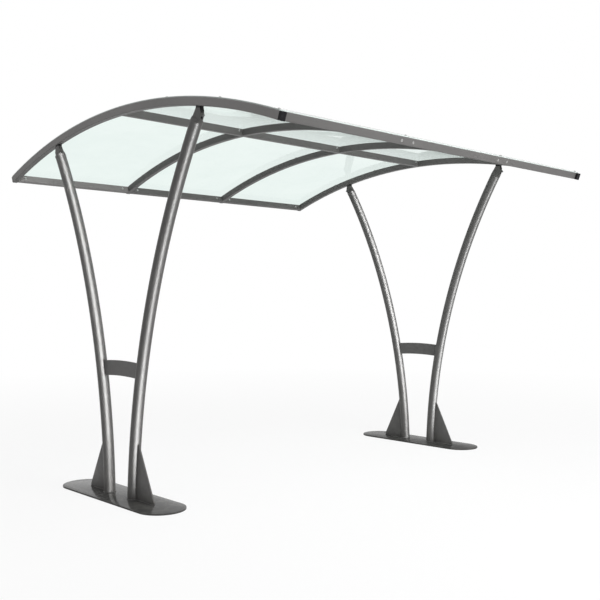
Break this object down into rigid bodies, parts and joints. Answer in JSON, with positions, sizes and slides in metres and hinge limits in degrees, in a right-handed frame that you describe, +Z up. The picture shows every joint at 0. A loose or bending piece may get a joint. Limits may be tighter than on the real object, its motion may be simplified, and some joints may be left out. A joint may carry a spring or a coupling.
{
  "type": "bike shelter",
  "caption": "Free-standing bike shelter with a clear curved roof on grey ribs and rails, carried by two pairs of curved tubular columns on rounded floor plates.",
  "frame": {"origin": "on the floor under the middle of the roof, midway between the two column pairs", "axes": "+X along the shelter from one column pair to the other, -Y towards the front with the long outer rail, +Z up"},
  "size_m": [3.438, 3.1757, 2.5563],
  "materials": {
    "frame": "satin",
    "supports": "satin",
    "pads": "matte",
    "caps": "matte",
    "glazing": "gloss"
  },
  "bodies": {
    "root": {"rib_1": "frame", "rib_2": "frame", "rib_3": "frame", "rib_4": "frame", "front_rail": "frame", "ridge_rail_1": "frame", "back_rail_1": "frame", "ridge_rail_2": "frame", "back_rail_2": "frame", "ridge_rail_3": "frame", "back_rail_3": "frame", "back_cap_1": "frame", "back_cap_2": "frame", "back_cap_3": "frame", "back_cap_4": "frame", "front_cap_left": "caps", "base_plate_left": "supports", "tie_left": "supports", "column_left_front": "supports", "gusset_left_front": "supports", "head_left_front": "supports", "pad_left_front": "pads", "column_left_back": "supports", "gusset_left_back": "supports", "head_left_back": "supports", "pad_left_back": "pads", "front_cap_right": "caps", "base_plate_right": "supports", "tie_right": "supports", "column_right_front": "supports", "gusset_right_front": "supports", "head_right_front": "supports", "pad_right_front": "pads", "column_right_back": "supports", "gusset_right_back": "supports", "head_right_back": "supports", "pad_right_back": "pads", "roof_sheet_1": "glazing", "roof_sheet_2": "glazing", "roof_sheet_3": "glazing"}
  },
  "joints": []
}
